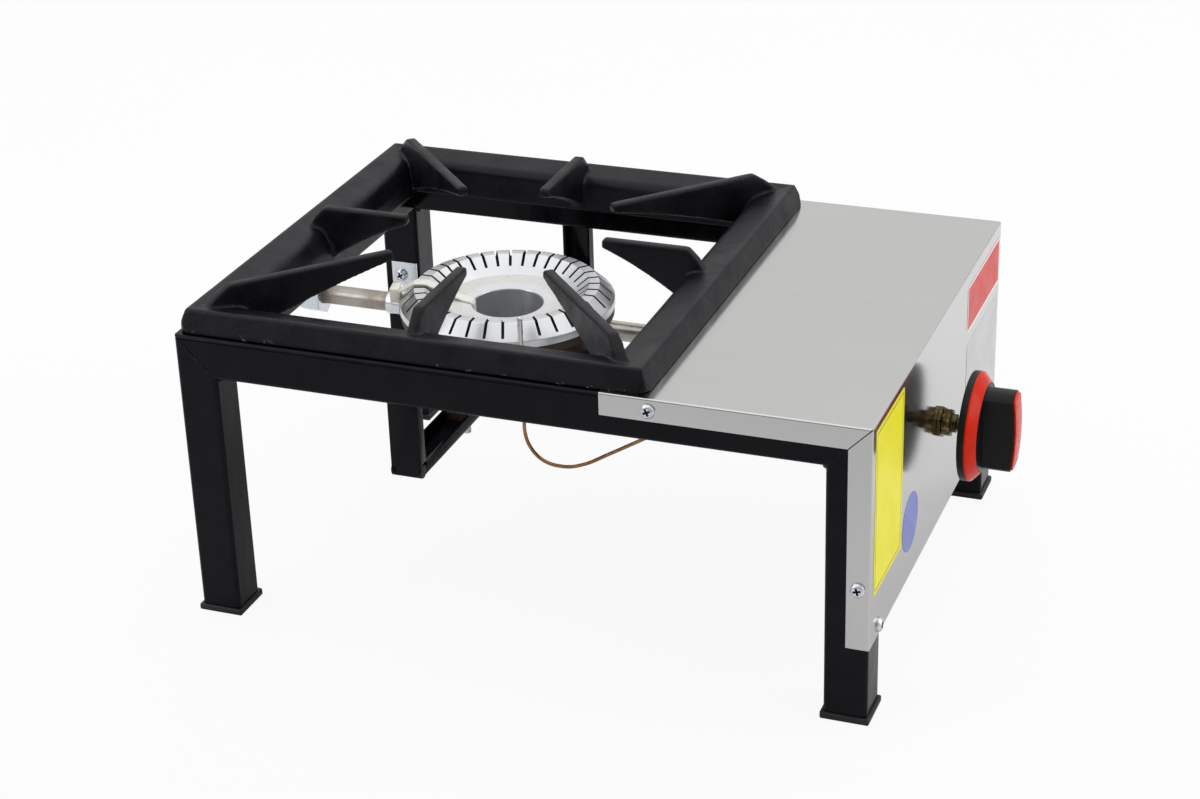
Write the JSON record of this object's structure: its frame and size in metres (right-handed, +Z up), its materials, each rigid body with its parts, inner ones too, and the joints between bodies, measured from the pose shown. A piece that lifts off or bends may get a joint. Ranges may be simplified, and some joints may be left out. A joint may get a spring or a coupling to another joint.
{
  "type": "gas stove",
  "caption": "Low tabletop gas stove: welded black tube frame, loose cast grate over a slotted ring burner, and a stainless control box with a push-and-turn knob.",
  "frame": {"origin": "on the floor under the middle of the whole stove's box, hose nozzle and knob included", "axes": "+X along the front from the hose end towards the knob, +Y to the back, +Z up"},
  "size_m": [0.543, 0.3064, 0.205],
  "materials": {
    "frame_paint": "gloss black paint over ground welds",
    "foot_plastic": "moulded black plastic",
    "grate_iron": "black coated casting with worn edges",
    "stainless": "brushed along the front",
    "zinc": "bright zinc plating",
    "burner_iron": "bare casting with brown rust",
    "burner_alloy": "pale cast, machined in the bore",
    "nylon": "natural nylon",
    "brass": "turned and dulled",
    "knob_black": "satin moulded plastic",
    "knob_red": "gloss moulded plastic",
    "pipe_steel": "bare steel with brown rust at the ends",
    "sensor_steel": "bright drawn steel",
    "copper": "dulled copper"
  },
  "bodies": {
    "stove": {"front_rail": "frame_paint", "back_rail": "frame_paint", "left_rail": "frame_paint", "right_rail": "frame_paint", "cross_rail": "frame_paint", "leg_front_left": "frame_paint", "leg_front_right": "frame_paint", "leg_back_left": "frame_paint", "leg_back_right": "frame_paint", "foot_front_left": "foot_plastic", "foot_front_right": "foot_plastic", "foot_back_left": "foot_plastic", "foot_back_right": "foot_plastic", "control_cover": "stainless", "cover_screws": "zinc", "burner_bracket": "frame_paint", "burner_base": "burner_iron", "burner_cap": "burner_alloy", "burner_bolts": "zinc", "cable_tie": "nylon", "mixing_tube": "burner_iron", "injector": "brass", "valve_body": "brass", "lock_nut": "brass", "gland_nut": "brass", "gas_pipe": "pipe_steel", "union_nut": "brass", "pipe_clamp": "zinc", "clamp_screw": "zinc", "hose_nut": "zinc", "hose_nozzle": "brass", "sensor": "sensor_steel", "sensor_clip": "zinc", "sensor_screw": "zinc", "sensor_nut": "brass", "sensor_lead": "copper"},
    "loose_grate": {"grate": "grate_iron"},
    "plug": {"tap_plug": "brass"},
    "knob": {"spindle": "brass", "knob_body": "knob_black", "knob_ring": "knob_red", "knob_insert": "knob_red"}
  },
  "joints": [
    {"name": "grate_lift", "type": "slide", "parent": "stove", "child": "loose_grate", "axis": [0, 0, 1], "range_m": [0, 0.12]},
    {"name": "tap_turn", "type": "hinge", "parent": "stove", "child": "plug", "pos_m": [0.2245, 0, 0.1147], "axis": [1, 0, 0], "range_deg": [0, 180]},
    {"name": "knob_push", "type": "slide", "parent": "plug", "child": "knob", "axis": [-1, 0, 0], "range_m": [0, 0.004], "stiffness_N_per_m": 1500, "springref_m": -0.004}
  ]
}
